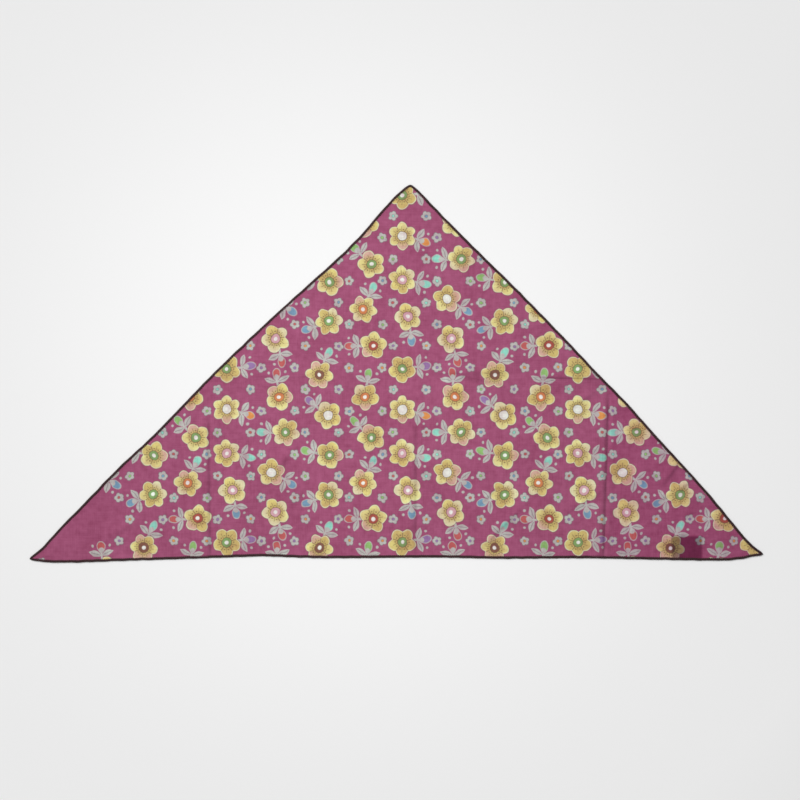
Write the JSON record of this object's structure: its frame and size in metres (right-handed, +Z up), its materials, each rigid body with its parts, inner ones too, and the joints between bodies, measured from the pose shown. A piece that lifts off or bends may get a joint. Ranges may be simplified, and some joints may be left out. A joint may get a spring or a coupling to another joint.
{
  "type": "neckerchief",
  "caption": "Triangular neckerchief laid flat: one thin printed cloth with dark rolled hems and a label tape caught under the long edge.",
  "frame": {"origin": "on the surface that the kerchief lies on, under the middle of its box", "axes": "+X along the long edge towards the label, +Y from the long edge towards the apex, +Z up, out of the printed side"},
  "size_m": [0.7782, 0.4018, 0.0032],
  "materials": {
    "printed_cloth": "matt thin woven cotton with a printed pattern",
    "hem_thread": "dark thread wound closely over a rolled edge",
    "label_tape": "smooth woven tape"
  },
  "bodies": {
    "root": {"panel": "printed_cloth", "hem_left": "hem_thread", "hem_right": "hem_thread", "hem_base": "hem_thread", "label": "label_tape"}
  },
  "joints": []
}
